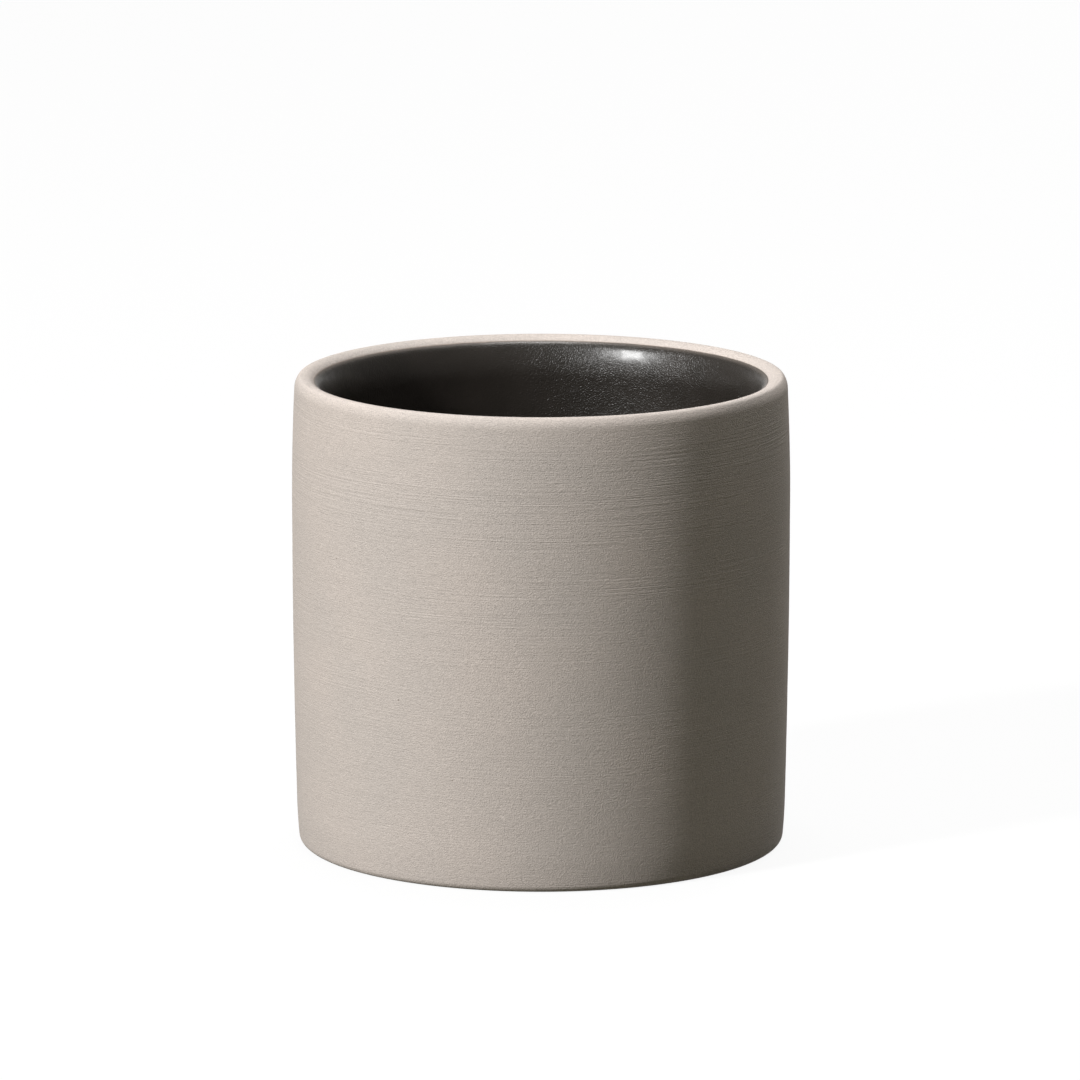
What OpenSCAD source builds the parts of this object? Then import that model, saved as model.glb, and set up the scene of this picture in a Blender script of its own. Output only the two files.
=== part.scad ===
// Handleless stoneware tea cup, with a straight, faintly barrelled wall.
// One fired clay body, bare outside, and one dark glaze lining fused to its inside.
// Millimetres, +Z up. The origin is the middle of the circle that the cup stands on.

/* [Body] */
// Height from the table to the top of the rim
cup_height = 57; // [40:0.5:120]
// Outside diameter at the belly, the widest place
belly_diameter = 60; // [45:0.5:110]
// Distance from the rim down to the belly
belly_drop = 15.5; // [8:0.5:30]
// Radius of the wall's bow above the belly
upper_radius = 286; // [120:1:2000]
// Radius of the wall's bow below the belly
lower_radius = 1550; // [300:5:4000]
// Thickness of the clay wall
wall = 3.7; // [3.4:0.1:5]
// Height of the bare clay floor inside, above the table
floor_height = 4.8; // [3:0.1:10]
// Radius of the inside corner between wall and floor
well_radius = 6; // [2:0.5:12]

/* [Rim] */
// Height of the rounded part on the outside of the rim
lip_height = 1.5; // [1:0.05:1.8]
// Radius of the outer shoulder, where the wall starts to turn in
lip_shoulder_radius = 2.2; // [2:0.05:4]
// Radius of the crown between that shoulder and the top
lip_crown_radius = 0.55; // [0.3:0.05:0.8]
// Least width of the level land on top of the rim
lip_land = 0.15; // [0.05:0.05:0.5]
// Depth below the rim at which the inside starts to flare out
flare_drop = 4.7; // [4:0.1:5]
// Radius of that flare
flare_radius = 8; // [7.5:0.5:10]

/* [Foot] */
// Height at which the wall starts to turn in towards the foot
foot_turn_height = 5; // [2.5:0.25:10]
// Radius of that turn
foot_turn_radius = 60; // [30:1:200]
// Radius of the rounded outside edge of the foot
foot_edge_radius = 0.9; // [0.4:0.1:2]
// Width of the ring that touches the table
foot_ring = 4.5; // [2:0.25:8]
// Depth of the hollow inside the foot ring
recess_depth = 1.2; // [0.5:0.1:1.5]
// Radius of both roundings on the step up into that hollow
recess_radius = 0.5; // [0.2:0.05:0.5]

/* [Glaze] */
// Thickness of the glaze on wall and floor
glaze = 0.3; // [0.15:0.05:0.6]
// Depth of the glaze line below the top of the rim
glaze_line = 0.65; // [0.5:0.05:0.9]
// Radius of the glaze over the rim, as a share of the clay's own radius there
glaze_lip_share = 0.8; // [0.6:0.05:0.85]

/* [Hidden] */

// How far a cut runs past the face that it opens
overrun = 1;
// How deep a rounding bites into its wall, so that the two cross and don't only touch
bite = 0.0005;
// Step to which the radius that the rim has room for on its inside is rounded down
radius_step = 0.01;
// Facets of a plain circle, and of the long shallow arcs of the wall
$fn = 144;
wall_facets = 1440;

// The wall's two bows meet upright at the belly
belly_radius = belly_diameter / 2;
belly_height = cup_height - belly_drop;
upper_centre = [belly_radius - upper_radius, belly_height];
lower_centre = [belly_radius - lower_radius, belly_height];

// The foot turn carries on from the lower wall without a corner
foot_turn_point = point_at_height(lower_centre, lower_radius, foot_turn_height);
foot_turn_centre =
    foot_turn_point - (foot_turn_point - lower_centre) * (foot_turn_radius - bite) / lower_radius;

// The rim's outer shoulder turns in from the wall, and its crown from that shoulder to the top
lip_shoulder_centre = point_at_height(
    upper_centre, upper_radius - lip_shoulder_radius + bite, cup_height - lip_height);
lip_crown_centre = point_at_height(
    lip_shoulder_centre, lip_shoulder_radius - lip_crown_radius + bite, cup_height - lip_crown_radius);

// On the inside the wall flares out first, and its rounding leads from the flare to the top
clay_flare_centre = flare_centre_at(wall);
lip_inner_radius = radius_step * floor(inner_radius(
    [lip_crown_centre.x - lip_land, cup_height] - clay_flare_centre, flare_radius) / radius_step);
lip_inner_centre = inner_point_at_height(
    clay_flare_centre, flare_radius - lip_inner_radius + bite, cup_height - lip_inner_radius);

// The rounded foot edge is tangent to the foot turn and to the table
foot_edge_centre = point_at_height(
    foot_turn_centre, foot_turn_radius - foot_edge_radius + bite, foot_edge_radius);

// The glaze line lies on the clay's inner rounding, and the glaze thins out to nothing there
glaze_flare_centre = flare_centre_at(wall + glaze);
glaze_lip_radius = lip_inner_radius * glaze_lip_share;
glaze_line_point = inner_point_at_height(lip_inner_centre, lip_inner_radius, cup_height - glaze_line);
glaze_lip_centre = lower_meeting(
    glaze_line_point, glaze_lip_radius,
    glaze_flare_centre, flare_radius - glaze_lip_radius + bite);

// Inner edge of the ring that touches the table
recess_edge = foot_edge_centre.x - foot_ring;

// Half the chord of a circle at a distance from its centre
function half_chord(radius, distance) = sqrt(radius * radius - distance * distance);

// The point of a circle at a given height, on the side away from the axis
function point_at_height(centre, radius, height) =
    [centre.x + half_chord(radius, height - centre.y), height];

// The point of a circle at a given height, on the side towards the axis
function inner_point_at_height(centre, radius, height) =
    [centre.x - half_chord(radius, height - centre.y), height];

// Centre of the flare that leaves the wall's outline, drawn in by inset, without a corner
function flare_centre_at(inset) =
    point_at_height(upper_centre, upper_radius - inset + flare_radius - bite, cup_height - flare_drop);

// Height at which a rounding circle touches another arc: reach is the circle's radius,
// and is negative where the circle lies outside the arc
function touch_height(centre, reach, arc_centre) =
    centre.y + reach * (centre.y - arc_centre.y) / norm(centre - arc_centre);

// Radius of the circle that hangs below a level line at a point and touches an arc from inside:
// the point is measured from the arc's centre
function inner_radius(point, arc_radius) =
    (arc_radius * arc_radius - point * point) / (2 * (arc_radius - point.y));

// The lower one of the two points where two circles cross
function lower_meeting(centre_a, radius_a, centre_b, radius_b) =
    let (
        between = centre_b - centre_a,
        distance = norm(between),
        ahead = between / distance,
        along = (distance * distance + radius_a * radius_a - radius_b * radius_b) / (2 * distance),
        across = half_chord(radius_a, along)
    )
    centre_a + along * ahead + across * [ahead.y, -ahead.x];

// Flat rectangle between two corners
module panel(low, high) {
    translate(low)
        square(high - low);
}

module disc(centre, radius) {
    translate(centre)
        circle(r = radius);
}

module wall_disc(centre, radius) {
    translate(centre)
        circle(r = radius, $fn = wall_facets);
}

// What a flat rectangle holds outside a disc: the waste that a rounding takes off
module waste(low, high, centre, radius) {
    difference() {
        panel(low, high);
        disc(centre, radius);
    }
}

// Half of everything inside the wall's outline, drawn in by inset
module barrel(inset, bottom, top) {
    intersection() {
        wall_disc(upper_centre, upper_radius - inset);
        panel([0, belly_height], [belly_radius, top]);
    }
    intersection() {
        wall_disc(lower_centre, lower_radius - inset);
        panel([0, bottom], [belly_radius, belly_height]);
    }
}

// Half of the outside of the cup as a full shape, with rounded rim and turned-in foot
module outside() {
    side = belly_radius + overrun;
    shoulder_touch = touch_height(lip_shoulder_centre, lip_shoulder_radius, upper_centre);
    crown_touch = touch_height(lip_crown_centre, lip_crown_radius, lip_shoulder_centre);
    foot_touch = touch_height(foot_edge_centre, foot_edge_radius, foot_turn_centre);
    difference() {
        barrel(0, 0, cup_height);
        waste([lip_crown_centre.x, shoulder_touch], [side, cup_height + overrun],
              lip_shoulder_centre, lip_shoulder_radius);
        waste([lip_crown_centre.x, crown_touch], [side, cup_height + overrun],
              lip_crown_centre, lip_crown_radius);
        waste([foot_edge_centre.x, -overrun], [side, foot_touch],
              foot_edge_centre, foot_edge_radius);
        difference() {
            panel([foot_edge_centre.x, -overrun], [side, foot_turn_height]);
            wall_disc(foot_turn_centre, foot_turn_radius);
        }
    }
}

// Half of the space inside a lining of the given inset, with its rounded floor corner.
// It flares out over two circles, as far out and up as the corner called mouth
module hollow(inset, bottom, corner_radius, flare_centre, lip_centre, lip_radius, mouth) {
    corner_centre = point_at_height(
        lower_centre, lower_radius - inset - corner_radius + bite, bottom + corner_radius);
    corner_touch = touch_height(corner_centre, corner_radius, lower_centre);
    flare_touch = touch_height(flare_centre, -flare_radius, upper_centre);
    lip_touch = touch_height(lip_centre, lip_radius, flare_centre);
    difference() {
        barrel(inset, bottom, mouth.y);
        waste([corner_centre.x, bottom - overrun], [belly_radius, corner_touch],
              corner_centre, corner_radius);
    }
    waste([0, flare_touch], mouth, flare_centre, flare_radius);
    waste([0, lip_touch], mouth, lip_centre, lip_radius);
}

module clay_hollow() {
    mouth = [lip_inner_centre.x, cup_height + overrun];
    hollow(wall, floor_height, well_radius,
           clay_flare_centre, lip_inner_centre, lip_inner_radius, mouth);
}

module glaze_hollow() {
    mouth = [belly_radius, cup_height + 2 * overrun];
    hollow(wall + glaze, floor_height + glaze, well_radius - glaze,
           glaze_flare_centre, glaze_lip_centre, glaze_lip_radius, mouth);
}

// Half of the shallow hollow inside the foot ring, rounded where it starts and where it ends
module recess() {
    ring_corner = [recess_edge, recess_radius];
    ceiling_corner = [recess_edge - 2 * recess_radius, recess_depth - recess_radius];
    panel([0, -overrun], [ceiling_corner.x, recess_depth]);
    panel([0, -overrun], [ring_corner.x - recess_radius, ceiling_corner.y]);
    disc(ceiling_corner, recess_radius);
    waste([0, -overrun], ring_corner, ring_corner, recess_radius);
}

// The fired clay: wall, floor, rim and foot ring in one piece, bare outside
module clay_body() {
    color("#bfb3a8")
        rotate_extrude()
            difference() {
                outside();
                clay_hollow();
                recess();
            }
}

// The glaze coat, from the floor up to the glaze line on the inner shoulder of the rim
module glaze_lining() {
    color("#2a2725")
        rotate_extrude()
            difference() {
                clay_hollow();
                glaze_hollow();
            }
}

clay_body();
glaze_lining();
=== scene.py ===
# %% [markdown]
# # A handleless stoneware cup
# This lesson dresses a small tea cup: a straight, faintly barrelled body of bare taupe clay, with a dark
# satin glaze on the inside only. The cup has just two pieces, so all the care goes into their shape and
# their surfaces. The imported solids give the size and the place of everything, in metres, with the cup
# standing on z = 0, and they are loaded first.

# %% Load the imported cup
import math

import bpy
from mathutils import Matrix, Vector


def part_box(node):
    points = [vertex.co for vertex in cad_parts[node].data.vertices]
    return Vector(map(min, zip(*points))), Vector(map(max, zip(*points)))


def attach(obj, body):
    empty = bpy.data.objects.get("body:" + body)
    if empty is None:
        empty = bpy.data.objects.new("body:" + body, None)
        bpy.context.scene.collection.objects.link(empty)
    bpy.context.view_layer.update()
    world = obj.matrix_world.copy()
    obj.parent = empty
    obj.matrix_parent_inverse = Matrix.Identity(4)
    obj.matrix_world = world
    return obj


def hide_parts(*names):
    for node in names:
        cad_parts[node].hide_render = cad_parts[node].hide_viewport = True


MM_PER_METRE = 1000

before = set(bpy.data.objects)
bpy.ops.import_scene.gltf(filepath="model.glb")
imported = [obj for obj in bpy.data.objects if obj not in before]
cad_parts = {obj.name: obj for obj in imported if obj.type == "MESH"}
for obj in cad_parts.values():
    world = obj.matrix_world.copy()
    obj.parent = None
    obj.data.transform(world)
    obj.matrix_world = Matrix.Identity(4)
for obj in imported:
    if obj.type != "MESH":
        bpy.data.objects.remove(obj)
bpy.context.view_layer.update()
clay_low, clay_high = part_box("clay_body")
glaze_low, glaze_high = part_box("glaze_lining")


def in_mm(length):
    """A length in millimetres, for printing."""
    return round(MM_PER_METRE * length, 3)


print("packed nodes:", sorted(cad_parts))
print("cup is", in_mm(2 * clay_high.x), "mm wide and", in_mm(clay_high.z), "mm high")

# %% [markdown]
# ## The camera
# The picture looks a little down into the cup, from about a metre away through a long lens, so that the
# sides look almost parallel. A camera could be pointed by eye. Here distance, rise, lens and a tiny
# sidestep are set instead to the values that fit the cup's outline, and the camera is made first, so that
# every later render can be compared with the same frame.

# %% Camera
CAMERA_SIDESTEP = 0.00013
CAMERA_DISTANCE = 1.0456
CAMERA_RISE = math.radians(11.194)
CAMERA_AIM_HEIGHT = 0.03675
CAMERA_LENS_MM = 288.97

bpy.ops.object.select_all(action="DESELECT")
bpy.ops.object.camera_add(
    location=(
        -CAMERA_SIDESTEP,
        -CAMERA_DISTANCE * math.cos(CAMERA_RISE),
        CAMERA_AIM_HEIGHT + CAMERA_DISTANCE * math.sin(CAMERA_RISE),
    ),
    rotation=(math.pi / 2 - CAMERA_RISE, 0, 0),
)
camera = bpy.context.active_object
camera.name = "camera"
camera.data.lens = CAMERA_LENS_MM
bpy.context.scene.camera = camera
bpy.context.scene.view_settings.view_transform = "Standard"
print("camera stands", in_mm(camera.location.z), "mm above the table")

# %% [markdown]
# ## The cup's outline
# A potter turns this cup against one outline, so one half-section is all that has to be drawn. Height,
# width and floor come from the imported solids. The other sizes are the ones that the solids were made
# with. Two long bows meet at the belly, the inside flares out a little below the rim, and small circles
# round off rim, foot and floor corner. Each circle touches its neighbour, and these helpers find its
# centre and the place where it touches.

# %% Sizes of the outline
BELLY_RADIUS = clay_high.x
CUP_HEIGHT = clay_high.z
FLOOR_HEIGHT = glaze_low.z
BELLY_DROP = 0.0155
UPPER_RADIUS = 0.286
LOWER_RADIUS = 1.55
WALL = 0.0037
WELL_RADIUS = 0.006
LIP_HEIGHT = 0.0015
LIP_SHOULDER_RADIUS = 0.0022
LIP_CROWN_RADIUS = 0.00055
LIP_INNER_RADIUS = 0.00178
FLARE_DROP = 0.0047
FLARE_RADIUS = 0.008
FOOT_TURN_HEIGHT = 0.005
FOOT_TURN_RADIUS = 0.06
FOOT_EDGE_RADIUS = 0.0009
FOOT_RING = 0.0045
RECESS_DEPTH = 0.0012
RECESS_RADIUS = 0.0005


def at_height(centre, radius, height):
    """The point of a circle at a height, on the side away from the cup's axis."""
    return Vector((centre.x + math.sqrt(radius**2 - (height - centre.y) ** 2), height))


def inwards_at_height(centre, radius, height):
    """The point of a circle at a height, on the side towards the cup's axis."""
    return Vector((centre.x - math.sqrt(radius**2 - (height - centre.y) ** 2), height))


def touch(centre, reach, bow_centre):
    """Where a rounding circle touches a bow: reach is its radius, negative if it lies outside the bow."""
    return centre + (centre - bow_centre).normalized() * reach


BELLY_HEIGHT = CUP_HEIGHT - BELLY_DROP
UPPER_CENTRE = Vector((BELLY_RADIUS - UPPER_RADIUS, BELLY_HEIGHT))
LOWER_CENTRE = Vector((BELLY_RADIUS - LOWER_RADIUS, BELLY_HEIGHT))
LIP_SHOULDER_CENTRE = at_height(UPPER_CENTRE, UPPER_RADIUS - LIP_SHOULDER_RADIUS, CUP_HEIGHT - LIP_HEIGHT)
LIP_CROWN_CENTRE = at_height(
    LIP_SHOULDER_CENTRE, LIP_SHOULDER_RADIUS - LIP_CROWN_RADIUS, CUP_HEIGHT - LIP_CROWN_RADIUS
)
FLARE_CENTRE = at_height(UPPER_CENTRE, UPPER_RADIUS - WALL + FLARE_RADIUS, CUP_HEIGHT - FLARE_DROP)
LIP_INNER_CENTRE = inwards_at_height(
    FLARE_CENTRE, FLARE_RADIUS - LIP_INNER_RADIUS, CUP_HEIGHT - LIP_INNER_RADIUS
)
FOOT_TURN = at_height(LOWER_CENTRE, LOWER_RADIUS, FOOT_TURN_HEIGHT)
FOOT_TURN_CENTRE = touch(FOOT_TURN, -FOOT_TURN_RADIUS, LOWER_CENTRE)
FOOT_EDGE_CENTRE = at_height(FOOT_TURN_CENTRE, FOOT_TURN_RADIUS - FOOT_EDGE_RADIUS, FOOT_EDGE_RADIUS)
RECESS_EDGE = FOOT_EDGE_CENTRE.x - FOOT_RING
WELL_CENTRE = at_height(LOWER_CENTRE, LOWER_RADIUS - WALL - WELL_RADIUS, FLOOR_HEIGHT + WELL_RADIUS)
print("belly at", in_mm(BELLY_HEIGHT), "mm, ring on the table from", in_mm(RECESS_EDGE), "mm outwards")

# %% [markdown]
# ## Turning an outline
# A lathe shape could come from a Screw modifier on a curve. Drawing it in edit mode stays closer to the
# wheel: a plane is merged to a single point, the point is extruded along straight and round stretches,
# and the finished line is spun once around the upright axis. The seam and the two poles are then merged,
# so that the mesh is closed, and the faces are turned outwards.

# %% Tools for turning
MERGE_DISTANCE = 1e-6


def stretch_points(start, end, rings, centre):
    """The points after start on the way to end: a straight line, or an arc round a centre."""
    shares = [(ring + 1) / rings for ring in range(rings)]
    if centre is None:
        return [start.lerp(end, share) for share in shares]
    first = math.atan2(start.y - centre.y, start.x - centre.x)
    last = math.atan2(end.y - centre.y, end.x - centre.x)
    sweep = (last - first + math.pi) % math.tau - math.pi
    radius = (start - centre).length
    angles = [first + sweep * share for share in shares]
    return [centre + radius * Vector((math.cos(angle), math.sin(angle))) for angle in angles]


def turn(name, steps, start, stretches):
    """A closed turned piece: each stretch of its outline is an end point, its rings and an arc's centre."""
    bpy.ops.object.select_all(action="DESELECT")
    bpy.ops.mesh.primitive_plane_add(size=WALL)
    piece = bpy.context.active_object
    piece.name = name
    piece.data.name = name
    bpy.ops.object.mode_set(mode="EDIT")
    bpy.ops.mesh.select_all(action="SELECT")
    bpy.ops.mesh.merge(type="CENTER")
    bpy.ops.transform.translate(value=(start.x, 0, start.y))
    place = start
    for end, rings, centre in stretches:
        for point in stretch_points(place, end, rings, centre):
            step = (point.x - place.x, 0, point.y - place.y)
            bpy.ops.mesh.extrude_region_move(TRANSFORM_OT_translate={"value": step})
            place = point
    bpy.ops.mesh.select_all(action="SELECT")
    bpy.ops.mesh.spin(steps=steps, angle=math.tau, center=(0, 0, 0), axis=(0, 0, 1))
    bpy.ops.mesh.select_all(action="SELECT")
    bpy.ops.mesh.remove_doubles(threshold=MERGE_DISTANCE)
    bpy.ops.mesh.normals_make_consistent(inside=False)
    bpy.ops.mesh.select_all(action="DESELECT")
    bpy.ops.mesh.select_non_manifold()
    bpy.ops.object.mode_set(mode="OBJECT")
    bpy.ops.object.shade_smooth()
    open_edges = sum(edge.select for edge in piece.data.edges)
    print(name, "has", len(piece.data.polygons), "faces and", open_edges, "open edges")
    return piece


# %% [markdown]
# ## The clay body
# The body is one piece of clay, so its outline goes all the way round: from the middle of the hollow
# underneath, over the foot ring, up the outside, over the rounded rim and down the inside to the middle
# of the floor. The outside wall gets many rings, because the turning marks will be real ridges there.
# The inside is covered by glaze and needs only a few.

# %% Turn the clay body
CLAY_STEPS = 256

recess_ceiling = Vector((RECESS_EDGE - 2 * RECESS_RADIUS, RECESS_DEPTH - RECESS_RADIUS))
recess_corner = Vector((RECESS_EDGE, RECESS_RADIUS))
clay_body = turn(
    "stoneware_body",
    CLAY_STEPS,
    Vector((0, RECESS_DEPTH)),
    [
        (Vector((recess_ceiling.x, RECESS_DEPTH)), 16, None),
        (Vector((recess_ceiling.x + RECESS_RADIUS, recess_ceiling.y)), 5, recess_ceiling),
        (Vector((recess_corner.x - RECESS_RADIUS, recess_corner.y)), 1, None),
        (Vector((recess_corner.x, 0)), 5, recess_corner),
        (Vector((FOOT_EDGE_CENTRE.x, 0)), 6, None),
        (touch(FOOT_EDGE_CENTRE, FOOT_EDGE_RADIUS, FOOT_TURN_CENTRE), 8, FOOT_EDGE_CENTRE),
        (FOOT_TURN, 18, FOOT_TURN_CENTRE),
        (Vector((BELLY_RADIUS, BELLY_HEIGHT)), 150, LOWER_CENTRE),
        (touch(LIP_SHOULDER_CENTRE, LIP_SHOULDER_RADIUS, UPPER_CENTRE), 60, UPPER_CENTRE),
        (touch(LIP_CROWN_CENTRE, LIP_CROWN_RADIUS, LIP_SHOULDER_CENTRE), 8, LIP_SHOULDER_CENTRE),
        (Vector((LIP_CROWN_CENTRE.x, CUP_HEIGHT)), 8, LIP_CROWN_CENTRE),
        (Vector((LIP_INNER_CENTRE.x, CUP_HEIGHT)), 1, None),
        (touch(LIP_INNER_CENTRE, LIP_INNER_RADIUS, FLARE_CENTRE), 14, LIP_INNER_CENTRE),
        (touch(FLARE_CENTRE, -FLARE_RADIUS, UPPER_CENTRE), 10, FLARE_CENTRE),
        (Vector((BELLY_RADIUS - WALL, BELLY_HEIGHT)), 8, UPPER_CENTRE),
        (touch(WELL_CENTRE, WELL_RADIUS, LOWER_CENTRE), 12, LOWER_CENTRE),
        (Vector((WELL_CENTRE.x, FLOOR_HEIGHT)), 8, WELL_CENTRE),
        (Vector((0, FLOOR_HEIGHT)), 8, None),
    ],
)

# %% [markdown]
# ## The glaze lining
# The glaze is a glassy coat a third of a millimetre thick. It could be painted on the clay as a colour,
# but then its rounded edge on the rim would be missing, and the lining couldn't be taken out as a piece.
# So it is turned as a thin closed shell. Its back bites a little into the clay, as molten glaze does. Its
# face follows wall and flare with many rings, because it mirrors the light, and the edge that shows is
# the line where that face dips under the clay of the rim.

# %% Turn the glaze lining
GLAZE_STEPS = 480
GLAZE = 0.0003
GLAZE_BITE = 0.00008
GLAZE_LIP_SHARE = 0.8
GLAZE_LIP_RADIUS = GLAZE_LIP_SHARE * LIP_INNER_RADIUS


def meeting(centre_a, radius_a, centre_b, radius_b, side):
    """One of the two points where two circles cross, on the side given as 1 or -1."""
    between = centre_b - centre_a
    ahead = between.normalized()
    along = (between.length_squared + radius_a**2 - radius_b**2) / (2 * between.length)
    across = math.sqrt(radius_a**2 - along**2)
    return centre_a + along * ahead + side * across * Vector((ahead.y, -ahead.x))


glaze_line = inwards_at_height(LIP_INNER_CENTRE, LIP_INNER_RADIUS, glaze_high.z)
glaze_flare_centre = at_height(
    UPPER_CENTRE, UPPER_RADIUS - WALL - GLAZE + FLARE_RADIUS, CUP_HEIGHT - FLARE_DROP
)
glaze_lip_centre = meeting(
    glaze_line, GLAZE_LIP_RADIUS, glaze_flare_centre, FLARE_RADIUS - GLAZE_LIP_RADIUS, 1
)
glaze_top = meeting(
    glaze_lip_centre, GLAZE_LIP_RADIUS, LIP_INNER_CENTRE, LIP_INNER_RADIUS - GLAZE_BITE, -1
)
back_floor = FLOOR_HEIGHT - GLAZE_BITE
face_floor = FLOOR_HEIGHT + GLAZE
back_wall = WALL - GLAZE_BITE
face_wall = WALL + GLAZE
glaze_lining = turn(
    "inner_glaze",
    GLAZE_STEPS,
    Vector((0, back_floor)),
    [
        (Vector((WELL_CENTRE.x, back_floor)), 8, None),
        (touch(WELL_CENTRE, WELL_RADIUS + GLAZE_BITE, LOWER_CENTRE), 8, WELL_CENTRE),
        (Vector((BELLY_RADIUS - back_wall, BELLY_HEIGHT)), 12, LOWER_CENTRE),
        (touch(FLARE_CENTRE, GLAZE_BITE - FLARE_RADIUS, UPPER_CENTRE), 8, UPPER_CENTRE),
        (touch(LIP_INNER_CENTRE, LIP_INNER_RADIUS - GLAZE_BITE, FLARE_CENTRE), 8, FLARE_CENTRE),
        (glaze_top, 4, LIP_INNER_CENTRE),
        (touch(glaze_lip_centre, GLAZE_LIP_RADIUS, glaze_flare_centre), 14, glaze_lip_centre),
        (touch(glaze_flare_centre, -FLARE_RADIUS, UPPER_CENTRE), 28, glaze_flare_centre),
        (Vector((BELLY_RADIUS - face_wall, BELLY_HEIGHT)), 30, UPPER_CENTRE),
        (touch(WELL_CENTRE, WELL_RADIUS - GLAZE, LOWER_CENTRE), 44, LOWER_CENTRE),
        (Vector((WELL_CENTRE.x, face_floor)), 12, WELL_CENTRE),
        (Vector((0, face_floor)), 12, None),
    ],
)
print("glaze line at radius", in_mm(glaze_line.x), "mm, height", in_mm(glaze_line.y), "mm")

# %% [markdown]
# ## Marks of the wheel
# Turned clay is never quite smooth: the tool leaves fine level ridges, and the hand leaves a slow waviness.
# Both could be faked in the material, but ridges on the outline and in the exported mesh have to be real.
# A Displace modifier moves the surface along its normals by a cloud pattern. An empty gives the pattern's
# proportions: squeezed in height and drawn out around the cup, the clouds become turning lines. A vertex
# group keeps them off the sponged rim and the foot.

# %% Tools for marks
CLOUD_LAYERS = 2


def weigh(piece, name, weight_at):
    """A vertex group whose weight depends on the distance from the axis and on the height."""
    group = piece.vertex_groups.new(name=name)
    for vertex in piece.data.vertices:
        radius = math.hypot(vertex.co.x, vertex.co.y)
        weight = weight_at(radius, vertex.co.z)
        if weight > 0:
            group.add([vertex.index], weight, "REPLACE")
    return group.name


def fade(value, low, high):
    """Rises smoothly from 0 at low to 1 at high."""
    share = min(max((value - low) / (high - low), 0), 1)
    return share * share * (3 - 2 * share)


def cloud_pattern(name):
    """Soft clouds as large as the guide that places them."""
    clouds = bpy.data.textures.new(name, "CLOUDS")
    clouds.noise_scale = 1
    clouds.noise_depth = CLOUD_LAYERS
    return clouds


def mark(piece, name, group, pattern, pattern_size, depth, still_value=0.5):
    """Displaces a piece by a pattern of the given size, but not where the pattern has its still value."""
    bpy.ops.object.empty_add()
    guide = bpy.context.active_object
    guide.scale = pattern_size
    bpy.context.view_layer.update()
    bpy.ops.object.select_all(action="DESELECT")
    piece.select_set(True)
    bpy.context.view_layer.objects.active = piece
    displace = piece.modifiers.new(name, "DISPLACE")
    displace.texture = pattern
    displace.texture_coords = "OBJECT"
    displace.texture_coords_object = guide
    displace.vertex_group = group
    displace.strength = depth
    displace.mid_level = still_value
    bpy.ops.object.modifier_apply(modifier=name)
    bpy.data.objects.remove(guide)
    bpy.data.textures.remove(pattern)
    print(name, "of", in_mm(depth), "mm on", piece.name)


# %% Mark the clay
MARKS_FADE = 0.002


def outside_wall(radius, height):
    """Full weight on the outside wall, none on rim, foot and inside."""
    outside = fade(radius, BELLY_RADIUS - WALL / 2, BELLY_RADIUS - WALL / 4)
    below_rim = fade(CUP_HEIGHT - height, LIP_HEIGHT, LIP_HEIGHT + MARKS_FADE)
    above_foot = fade(height, FOOT_EDGE_RADIUS, FOOT_EDGE_RADIUS + MARKS_FADE)
    return outside * below_rim * above_foot


wall_group = weigh(clay_body, "outside wall", outside_wall)
for name, pattern_size, depth in (
    ("slow waviness", (0.02, 0.02, 0.012), 0.00006),
    ("turning ridges", (0.03, 0.03, 0.0011), 0.000012),
    ("fine turning lines", (0.012, 0.012, 0.0004), 0.000006),
):
    mark(clay_body, name, wall_group, cloud_pattern(name), pattern_size, depth)

# %% [markdown]
# ## Uneven glaze
# Glaze is poured in and out again, so the coat gets thick and thin places, its edge is ragged, and it
# reaches higher on one side. Colour alone couldn't bend the highlight or move the edge, so the face towards
# the drink is displaced as the clay was. A Blend texture simply rises from left to right: where it makes the
# coat thicker, its face meets the clay higher up.

# %% Make the glaze uneven
THICKER_SIDE_DEPTH = 0.00008


def glaze_face(radius, height):
    """Full weight on the face of the glaze towards the drink, none on its back."""
    place = Vector((radius, height))
    if height < FLOOR_HEIGHT + WELL_RADIUS:
        return 0
    for centre, reach in (
        (LOWER_CENTRE, LOWER_RADIUS - face_wall),
        (UPPER_CENTRE, UPPER_RADIUS - face_wall),
        (glaze_flare_centre, FLARE_RADIUS),
        (glaze_lip_centre, GLAZE_LIP_RADIUS),
    ):
        if abs((place - centre).length - reach) < MERGE_DISTANCE:
            return fade(glaze_top.y - height, 0, GLAZE_BITE / 2)
    return 0


face_group = weigh(glaze_lining, "glaze face", glaze_face)
for name, pattern_size, depth in (
    ("glaze thickness", (0.004, 0.004, 0.004), 0.00005),
    ("ragged glaze line", (0.001, 0.001, 0.001), 0.00004),
):
    mark(glaze_lining, name, face_group, cloud_pattern(name), pattern_size, depth)
slope = bpy.data.textures.new("slope", "BLEND")
slope.progression = "QUADRATIC"
slope_size = (BELLY_RADIUS, BELLY_RADIUS, BELLY_RADIUS)
mark(glaze_lining, "thicker side", face_group, slope, slope_size, THICKER_SIDE_DEPTH, still_value=0)

# %% [markdown]
# ## Shared surface effects
# Clay and glaze share some patterns, each at its own scale: lines from the wheel, an even grain, tiny
# specks, and the nearness of the glaze line, where the glaze thins and the clay is darker brown. Each is
# one node group with named sockets. All of them read Object coordinates, which are metres in the cup's own
# frame, so a size on a socket is a real size: the same lines group makes long bands, short dashes and sand.

# %% Tools for node groups
effects = {}


def add_node(tree, kind, **settings):
    """A node with its plain settings, and with inputs given by their socket's name or number."""
    node = tree.nodes.new(kind)
    inputs = settings.pop("inputs", {})
    for key, value in settings.items():
        setattr(node, key, value)
    for key, value in inputs.items():
        if isinstance(value, bpy.types.NodeSocket):
            tree.links.new(value, node.inputs[key])
        else:
            node.inputs[key].default_value = value
    return node


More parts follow.
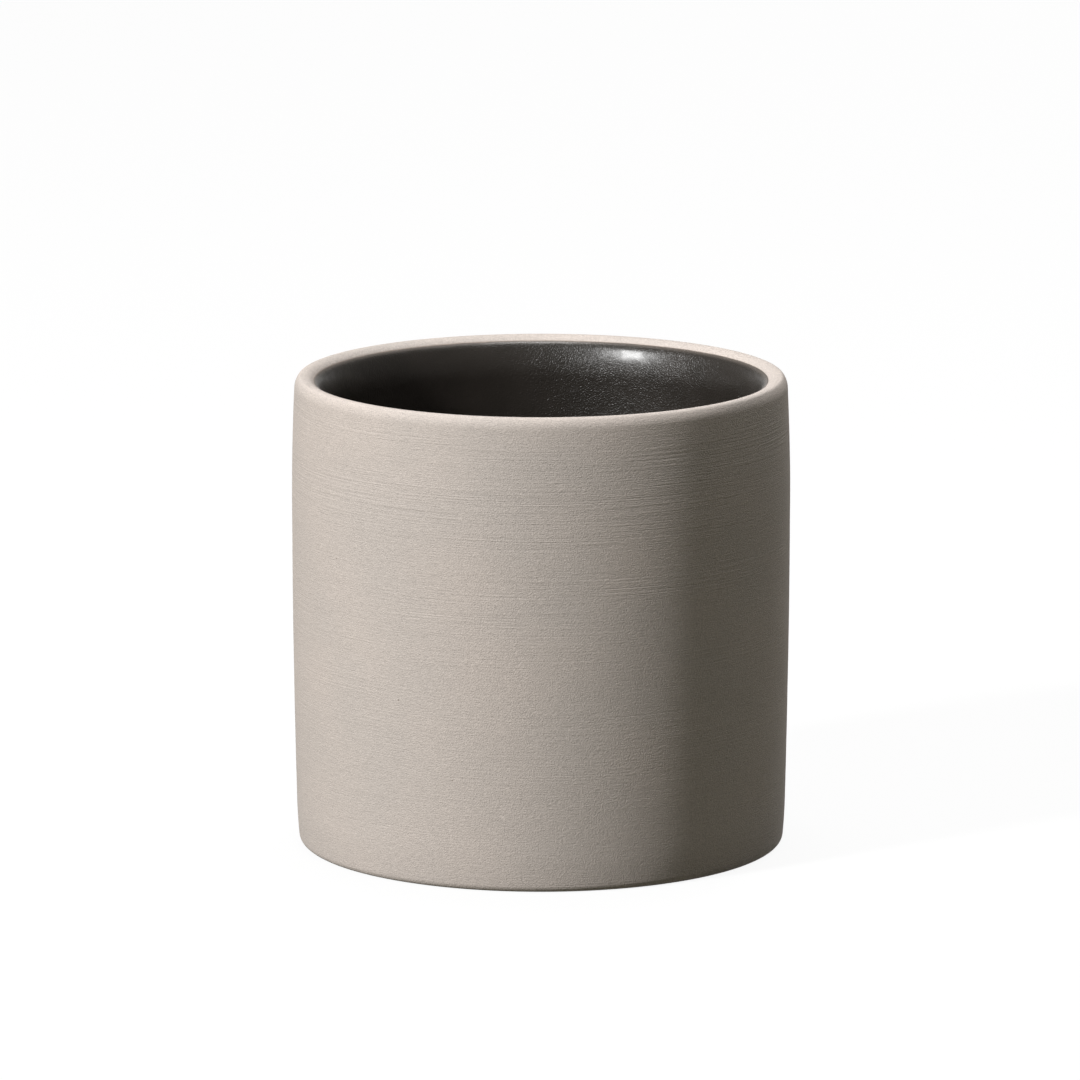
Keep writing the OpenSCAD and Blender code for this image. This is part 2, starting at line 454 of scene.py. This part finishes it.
def math_node(tree, operation, first, second=0.0):
    """The output of one Math node."""
    return add_node(tree, "ShaderNodeMath", operation=operation, inputs={0: first, 1: second}).outputs[0]


def start_group(name, inputs, output):
    """An empty shader group with number inputs, at their default values, and one number output."""
    tree = bpy.data.node_groups.new(name, "ShaderNodeTree")
    for label, value in inputs.items():
        socket = tree.interface.new_socket(name=label, in_out="INPUT", socket_type="NodeSocketFloat")
        socket.default_value = value
    tree.interface.new_socket(name=output, in_out="OUTPUT", socket_type="NodeSocketFloat")
    print("group", name, "takes", ", ".join(inputs))
    return tree, tree.nodes.new("NodeGroupInput"), tree.nodes.new("NodeGroupOutput")


def object_place(tree):
    """The place on the piece, in metres in the cup's own frame."""
    return tree.nodes.new("ShaderNodeTexCoord").outputs["Object"]


def sized_place(tree, width, height):
    """Object coordinates counted in widths across and in heights upwards."""
    size = add_node(tree, "ShaderNodeCombineXYZ", inputs={"X": width, "Y": width, "Z": height})
    inputs = {0: object_place(tree), 1: size.outputs[0]}
    return add_node(tree, "ShaderNodeVectorMath", operation="DIVIDE", inputs=inputs).outputs[0]


def sized_noise(tree, width, height):
    """Soft noise of the given size across and upwards."""
    place = sized_place(tree, width, height)
    noise = add_node(
        tree, "ShaderNodeTexNoise", inputs={"Vector": place, "Scale": 1.0, "Detail": 1.0, "Roughness": 0.5}
    )
    return noise.outputs["Fac"]


def soft_step(tree, value, zero_at, one_at):
    """Rises smoothly from 0 to 1 between two values."""
    node = add_node(
        tree,
        "ShaderNodeMapRange",
        interpolation_type="SMOOTHSTEP",
        inputs={"Value": value, "From Min": zero_at, "From Max": one_at, "To Min": 0.0, "To Max": 1.0},
    )
    return node.outputs[0]


# %% Group: turning lines
def make_turning_lines():
    """Noise drawn out around the cup: level lines, or flat grains where length and height are alike."""
    tree, source, result = start_group(
        "turning lines", {"Line Height": 0.0003, "Line Length": 0.02}, "Lines"
    )
    lines = sized_noise(tree, source.outputs["Line Length"], source.outputs["Line Height"])
    tree.links.new(lines, result.inputs["Lines"])
    return tree


effects["turning lines"] = make_turning_lines()

# %% Group: grain
def make_grain():
    """Even fine noise, such as the drift of a colour or the pebbly skin of a satin glaze."""
    tree, source, result = start_group("grain", {"Grain Size": 0.0003}, "Grain")
    size = source.outputs["Grain Size"]
    tree.links.new(sized_noise(tree, size, size), result.inputs["Grain"])
    return tree


effects["grain"] = make_grain()

# %% Group: specks
SPECK_CORE = 0.4


def make_specks():
    """Sparse round specks: 1 in the middle of a speck, 0 elsewhere."""
    tree, source, result = start_group(
        "specks", {"Spacing": 0.002, "Radius": 0.0001, "Share": 0.2}, "Specks"
    )
    spacing = source.outputs["Spacing"]
    place = sized_place(tree, spacing, spacing)
    cells = add_node(tree, "ShaderNodeTexVoronoi", inputs={"Vector": place, "Scale": 1.0})
    reach = math_node(tree, "MULTIPLY", cells.outputs["Distance"], spacing)
    inside = math_node(tree, "DIVIDE", reach, source.outputs["Radius"])
    chance = add_node(tree, "ShaderNodeSeparateColor", inputs={"Color": cells.outputs["Color"]})
    chosen = math_node(tree, "LESS_THAN", chance.outputs["Red"], source.outputs["Share"])
    specks = math_node(tree, "MULTIPLY", soft_step(tree, inside, 1.0, SPECK_CORE), chosen)
    tree.links.new(specks, result.inputs["Specks"])
    return tree


effects["specks"] = make_specks()

# %% Group: nearness to the glaze line
def long_side(tree, first, second):
    """The longest side of a right triangle with two given short sides."""
    first_squared = math_node(tree, "MULTIPLY", first, first)
    second_squared = math_node(tree, "MULTIPLY", second, second)
    return math_node(tree, "SQRT", math_node(tree, "ADD", first_squared, second_squared))


def make_glaze_line():
    """1 on the glaze line, falling to 0 at the given width on either side of it."""
    tree, source, result = start_group("glaze line", {"Width": 0.0005}, "Nearness")
    place = add_node(tree, "ShaderNodeSeparateXYZ", inputs={0: object_place(tree)})
    radius = long_side(tree, place.outputs["X"], place.outputs["Y"])
    outwards = math_node(tree, "SUBTRACT", radius, glaze_line.x)
    upwards = math_node(tree, "SUBTRACT", place.outputs["Z"], glaze_line.y)
    distance = long_side(tree, outwards, upwards)
    nearness = soft_step(tree, distance, source.outputs["Width"], 0.0)
    tree.links.new(nearness, result.inputs["Nearness"])
    return tree


effects["glaze line"] = make_glaze_line()

# %% [markdown]
# ## Bare clay
# Bare stoneware is matt and slightly sandy. Its taupe grey drifts a little from place to place, lighter
# and darker lines follow the wheel, fine sand gives it grain, and a few iron specks show. Along the glaze
# line the colour is mixed towards a darker brown. One base colour is mixed step by step with these
# patterns, and grain and lines also feed the bump, which catches the light as the real surface does.

# %% Material tools
NOISE_LOW = 0.3
NOISE_HIGH = 0.7
NOISE_MEAN = 0.5
MIX_SHARE = 0
MIX_FIRST = 6
MIX_SECOND = 7
MIX_RESULT = 2


def use_effect(tree, name, **sizes):
    """A shared effect placed in a material, with its own sizes by socket name."""
    node = tree.nodes.new("ShaderNodeGroup")
    node.node_tree = effects[name]
    for label, value in sizes.items():
        node.inputs[label.replace("_", " ")].default_value = value
    return node.outputs[0]


def span(tree, value, from_low, from_high, to_low, to_high):
    """One value mapped from one range to another, and kept inside it."""
    node = add_node(
        tree,
        "ShaderNodeMapRange",
        inputs={
            "Value": value,
            "From Min": from_low,
            "From Max": from_high,
            "To Min": to_low,
            "To Max": to_high,
        },
    )
    return node.outputs[0]


def noise_span(tree, noise, to_low, to_high):
    """A noise spread over a range."""
    return span(tree, noise, NOISE_LOW, NOISE_HIGH, to_low, to_high)


def with_alpha(colour):
    """Red, green and blue with a full alpha, or a socket as it is."""
    return colour if isinstance(colour, bpy.types.NodeSocket) else (*colour, 1)


def mix_colour(tree, share, first, second, blend="MIX"):
    """Two colours mixed by a share, each a socket or red, green and blue."""
    inputs = {MIX_SHARE: share, MIX_FIRST: with_alpha(first), MIX_SECOND: with_alpha(second)}
    node = add_node(tree, "ShaderNodeMix", data_type="RGBA", blend_type=blend, inputs=inputs)
    return node.outputs[MIX_RESULT]


def weighted_sum(tree, start, terms):
    """A start value plus each given socket times its weight."""
    total = start
    for socket, weight in terms:
        total = math_node(tree, "ADD", math_node(tree, "MULTIPLY", socket, weight), total)
    return total


def add_bump(tree, surface, relief, distance):
    """Lets a relief catch the light: distance is its height where the relief is 1."""
    bump = add_node(tree, "ShaderNodeBump", inputs={"Height": relief, "Strength": 1.0, "Distance": distance})
    tree.links.new(bump.outputs["Normal"], surface.inputs["Normal"])


def start_material(name):
    """A new material with its node tree and its main shader."""
    material = bpy.data.materials.new(name)
    material.use_nodes = True
    return material, material.node_tree, material.node_tree.nodes["Principled BSDF"]


# %% Where the clay shows its lines
LINES_WEAK_BELOW = 0.3 * CUP_HEIGHT
LINES_FULL_ABOVE = 0.6 * CUP_HEIGHT
WEAK_LINES = 0.5
PATCH_LOW = 0.35
PATCH_HIGH = 0.6
LINES_BETWEEN_PATCHES = 0.2


def line_share(tree, bands):
    """How strongly the lines show: in patches, weaker low on the wall, and not at all on the rim."""
    height = add_node(tree, "ShaderNodeSeparateXYZ", inputs={0: object_place(tree)}).outputs["Z"]
    upper_wall = span(tree, height, LINES_WEAK_BELOW, LINES_FULL_ABOVE, WEAK_LINES, 1.0)
    below_rim = span(tree, height, CUP_HEIGHT - LIP_HEIGHT, CUP_HEIGHT - 2 * LIP_HEIGHT, 0.0, 1.0)
    patches = span(tree, bands, PATCH_LOW, PATCH_HIGH, LINES_BETWEEN_PATCHES, 1.0)
    return math_node(tree, "MULTIPLY", patches, math_node(tree, "MULTIPLY", upper_wall, below_rim))


# %% Make the bare clay
CLAY_WARM = (0.56, 0.495, 0.45)
CLAY_GREY = (0.53, 0.475, 0.435)
IRON_SPECK = (0.16, 0.12, 0.09)
IRON_STRENGTH = 0.8
# A darker brown, mixed in along the glaze line.
GLAZE_LINE_BROWN = (0.2, 0.14, 0.1)
GLAZE_LINE_BROWN_STRENGTH = 0.6
SAND_SHADE = 0.7
DASH_SHADE = 0.2
LINE_SHADE = 0.2
BAND_SHADE = 0.03
START_SHADE = 1 - NOISE_MEAN * (SAND_SHADE + DASH_SHADE + BAND_SHADE)
SAND_RELIEF = 1.9
DASH_RELIEF = 0.7
LINE_RELIEF = 1.9
CLAY_BUMP = 0.000035
CLAY_SMOOTHEST = 0.65
CLAY_ROUGHEST = 0.8
CLAY_SPECULAR = 0.35


def make_bare_clay():
    """Matt taupe clay with sand, turning lines, iron specks and a darker brown band along the glaze line."""
    material, tree, surface = start_material("bare clay")
    drift = use_effect(tree, "grain", Grain_Size=0.012)
    sand = use_effect(tree, "turning lines", Line_Height=0.00013, Line_Length=0.00017)
    dashes = use_effect(tree, "turning lines", Line_Height=0.00016, Line_Length=0.0008)
    lines = use_effect(tree, "turning lines", Line_Height=0.00017, Line_Length=0.012)
    bands = use_effect(tree, "turning lines", Line_Height=0.003, Line_Length=0.04)
    specks = use_effect(tree, "specks", Spacing=0.0035, Radius=0.00014, Share=0.22)
    near_glaze_line = use_effect(tree, "glaze line", Width=0.00025)
    level_lines = math_node(tree, "SUBTRACT", lines, NOISE_MEAN)
    shown_lines = math_node(tree, "MULTIPLY", level_lines, line_share(tree, bands))

    colour = mix_colour(tree, noise_span(tree, drift, 0.0, 1.0), CLAY_WARM, CLAY_GREY)
    shades = [(sand, SAND_SHADE), (dashes, DASH_SHADE), (shown_lines, LINE_SHADE), (bands, BAND_SHADE)]
    colour = mix_colour(tree, 1.0, colour, weighted_sum(tree, START_SHADE, shades), "MULTIPLY")
    colour = mix_colour(tree, math_node(tree, "MULTIPLY", specks, IRON_STRENGTH), colour, IRON_SPECK)
    # A darker brown band along the glaze line, mixed in by nearness to it.
    colour = mix_colour(tree, math_node(tree, "MULTIPLY", near_glaze_line, GLAZE_LINE_BROWN_STRENGTH), colour, GLAZE_LINE_BROWN)
    tree.links.new(colour, surface.inputs["Base Color"])
    roughness = noise_span(tree, sand, CLAY_SMOOTHEST, CLAY_ROUGHEST)
    tree.links.new(roughness, surface.inputs["Roughness"])
    surface.inputs["Specular IOR Level"].default_value = CLAY_SPECULAR
    reliefs = [(sand, SAND_RELIEF), (dashes, DASH_RELIEF), (shown_lines, LINE_RELIEF)]
    add_bump(tree, surface, weighted_sum(tree, 0.0, reliefs), CLAY_BUMP)
    return material


bare_clay = make_bare_clay()
clay_body.data.materials.append(bare_clay)
print(bare_clay.name, "has", len(bare_clay.node_tree.nodes), "nodes")

# %% [markdown]
# ## Dark glaze
# The lining is a dark brown-black satin glaze. It isn't mirror smooth: a fine pebbly skin spreads the
# light into a soft sheen with tiny glints, and a level clear coat over it holds the highlight together.
# Where the glaze thins out at the glaze line, the clay shows through as a lighter brown. Roughness and bump
# share the grain effect with the clay, at other sizes.

# %% Make the dark glaze
GLAZE_DARK = (0.023, 0.0195, 0.016)
GLAZE_BROWN = (0.03, 0.025, 0.021)
GLAZE_THIN = (0.12, 0.1, 0.085)
GLAZE_SMOOTHEST = 0.28
GLAZE_ROUGHEST = 0.37
GLAZE_SPECULAR = 0.4
GLAZE_BUMP = 0.0001
COAT_WEIGHT = 0.58
COAT_ROUGHNESS = 0.295


def make_dark_glaze():
    """Dark satin glaze with a pebbly skin, lighter where it thins out."""
    material, tree, surface = start_material("dark glaze")
    drift = use_effect(tree, "grain", Grain_Size=0.006)
    pebbles = use_effect(tree, "grain", Grain_Size=0.00017)
    thin = use_effect(tree, "glaze line", Width=0.0006)

    colour = mix_colour(tree, noise_span(tree, drift, 0.0, 1.0), GLAZE_DARK, GLAZE_BROWN)
    colour = mix_colour(tree, thin, colour, GLAZE_THIN)
    tree.links.new(colour, surface.inputs["Base Color"])
    roughness = noise_span(tree, pebbles, GLAZE_SMOOTHEST, GLAZE_ROUGHEST)
    tree.links.new(roughness, surface.inputs["Roughness"])
    surface.inputs["Specular IOR Level"].default_value = GLAZE_SPECULAR
    surface.inputs["Coat Weight"].default_value = COAT_WEIGHT
    surface.inputs["Coat Roughness"].default_value = COAT_ROUGHNESS
    add_bump(tree, surface, pebbles, GLAZE_BUMP)
    return material


dark_glaze = make_dark_glaze()
glaze_lining.data.materials.append(dark_glaze)
print(dark_glaze.name, "has", len(dark_glaze.node_tree.nodes), "nodes")

# %% [markdown]
# ## Floor and backdrop
# The cup stands on a plain pale floor that fills the picture, with a low backdrop far behind. To the light
# both are grey, so that they don't glow at the cup. To the camera and in reflections they are nearly white,
# by a Light Path node, and a little of their own shading is kept, so that the cup's shadow stays. More light
# could make them white too, but it would wash out the clay.

# %% Floor
FLOOR_SIZE = 8.0
FLOOR_GAP = 0.00002
FLOOR_GREY = (0.1, 0.096, 0.066)
FLOOR_PALE = (0.95, 0.95, 0.95)
WHITE = (1, 1, 1)
FLOOR_WHITENESS = 0.92


def seen_rays(tree):
    """1 for rays that show a thing to the camera, straight or reflected, and 0 for rays that light it."""
    path = tree.nodes.new("ShaderNodeLightPath")
    gloss = math_node(tree, "MAXIMUM", path.outputs["Is Glossy Ray"], path.outputs["Is Transmission Ray"])
    return math_node(tree, "MAXIMUM", path.outputs["Is Camera Ray"], gloss)


def make_pale_floor():
    """Grey to the light, and nearly white where it is seen."""
    material = bpy.data.materials.new("pale floor")
    material.use_nodes = True
    tree = material.node_tree
    tree.nodes.clear()
    seen = seen_rays(tree)
    whiteness = math_node(tree, "MULTIPLY", seen, FLOOR_WHITENESS)
    colour = mix_colour(tree, seen, FLOOR_GREY, FLOOR_PALE)
    shaded = add_node(tree, "ShaderNodeBsdfDiffuse", inputs={"Color": colour})
    white = add_node(tree, "ShaderNodeEmission", inputs={"Color": with_alpha(WHITE), "Strength": 1.0})
    mixed = add_node(
        tree, "ShaderNodeMixShader", inputs={0: whiteness, 1: shaded.outputs[0], 2: white.outputs[0]}
    )
    add_node(tree, "ShaderNodeOutputMaterial", inputs={"Surface": mixed.outputs[0]})
    return material


bpy.ops.object.select_all(action="DESELECT")
bpy.ops.mesh.primitive_plane_add(size=FLOOR_SIZE)
floor = bpy.context.active_object
floor.name = "floor"
bpy.ops.object.mode_set(mode="EDIT")
bpy.ops.mesh.select_all(action="SELECT")
bpy.ops.transform.translate(value=(0, 0, -FLOOR_GAP))
bpy.ops.object.mode_set(mode="OBJECT")
pale_floor = make_pale_floor()
floor.data.materials.append(pale_floor)
print("floor of", FLOOR_SIZE, "m lies", in_mm(FLOOR_GAP), "mm below the foot")

# %% Backdrop
BACKDROP_DISTANCE = 2.5
BACKDROP_HEIGHT = 0.4

bpy.ops.object.select_all(action="DESELECT")
bpy.ops.mesh.primitive_plane_add(size=1)
backdrop = bpy.context.active_object
backdrop.name = "backdrop"
bpy.ops.object.mode_set(mode="EDIT")
bpy.ops.mesh.select_all(action="SELECT")
bpy.ops.transform.resize(value=(FLOOR_SIZE, BACKDROP_HEIGHT, 1))
bpy.ops.transform.rotate(value=math.pi / 2, orient_axis="X", center_override=(0, 0, 0))
bpy.ops.transform.translate(value=(0, BACKDROP_DISTANCE, BACKDROP_HEIGHT / 2))
bpy.ops.object.mode_set(mode="OBJECT")
backdrop.data.materials.append(pale_floor)
print("backdrop stands", BACKDROP_DISTANCE, "m behind the cup and is", BACKDROP_HEIGHT, "m high")

# %% [markdown]
# ## Room and lamps
# One small softbox at the front left is the key, as the shading of the wall shows. One overhead, a little
# behind the cup, lights the rim and leaves the thin gleam at the back of the glaze. Two more only lift the
# shaded side and its far edge. Their mirror images would show up in the glaze, so they are kept out of
# reflections. The room adds a weak even fill, and is a little brighter where the glaze mirrors it.

# %% Room
ROOM_COLOUR = (1.0, 1.0, 0.95)
ROOM_FILL = 0.051
ROOM_SEEN = 0.15

world = bpy.data.worlds.new("studio")
bpy.context.scene.world = world
world.use_nodes = True
background = world.node_tree.nodes["Background"]
background.inputs["Color"].default_value = with_alpha(ROOM_COLOUR)
room_strength = span(world.node_tree, seen_rays(world.node_tree), 0.0, 1.0, ROOM_FILL, ROOM_SEEN)
world.node_tree.links.new(room_strength, background.inputs["Strength"])
print("room lights with", ROOM_FILL, "and is seen with", ROOM_SEEN)

# %% Softboxes
CUP_MIDDLE = Vector((0, 0, CUP_HEIGHT / 2))


def add_softbox(name, turn_left, rise, distance, size, power, reflected=True):
    """A round softbox aimed at the cup, turned to the left of the camera and raised, both in degrees."""
    left = math.radians(turn_left)
    up = math.radians(rise)
    direction = Vector((-math.sin(left) * math.cos(up), -math.cos(left) * math.cos(up), math.sin(up)))
    bpy.ops.object.light_add(type="AREA", location=CUP_MIDDLE + distance * direction)
    softbox = bpy.context.active_object
    softbox.name = name
    softbox.rotation_euler = direction.to_track_quat("Z", "Y").to_euler()
    softbox.data.shape = "DISK"
    softbox.data.size = size
    softbox.data.energy = power
    softbox.visible_glossy = reflected
    print(name, "stands at", [round(value, 2) for value in softbox.location], "with", power, "W")


add_softbox("key softbox", turn_left=53, rise=30, distance=1.5, size=0.2, power=25.0)
add_softbox("overhead softbox", turn_left=180, rise=78, distance=1.2, size=0.4, power=4.5)
add_softbox("top fill", turn_left=-70, rise=80, distance=0.4, size=0.3, power=0.7, reflected=False)
add_softbox("rim softbox", turn_left=-157, rise=25, distance=1.5, size=0.4, power=5.0, reflected=False)

# %% [markdown]
# ## Hand over
# Each piece rides on the cup's only body and stands for its imported solid.

# %% Hand over
for piece, node_name, slot_name in (
    (clay_body, "clay_body", "bare_clay"),
    (glaze_lining, "glaze_lining", "dark_glaze"),
):
    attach(piece, "root")
    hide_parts(node_name)
